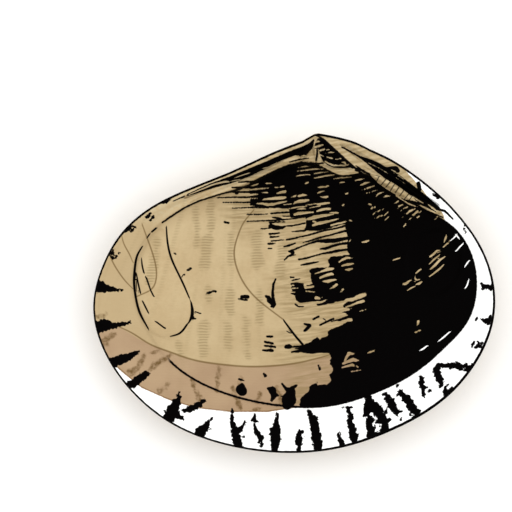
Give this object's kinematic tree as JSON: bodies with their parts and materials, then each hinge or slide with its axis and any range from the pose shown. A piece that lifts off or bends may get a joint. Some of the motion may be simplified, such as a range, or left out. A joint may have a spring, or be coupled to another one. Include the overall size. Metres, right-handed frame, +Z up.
{
  "type": "bivalve shell",
  "caption": "One valve of a trough shell clam, lying on its back with the hollow up, with hinge teeth, ligament pit and muscle scars.",
  "frame": {"origin": "middle of the valve's length and height as seen from above, at the surface it rests on", "axes": "+X from the front end to the hind end of the valve, +Y from the gape to the beak, +Z up, out of the hollow"},
  "size_m": [0.0698, 0.0552, 0.0151],
  "materials": {
    "shell": "satin"
  },
  "bodies": {
    "root": {"valve": "shell"}
  },
  "joints": []
}
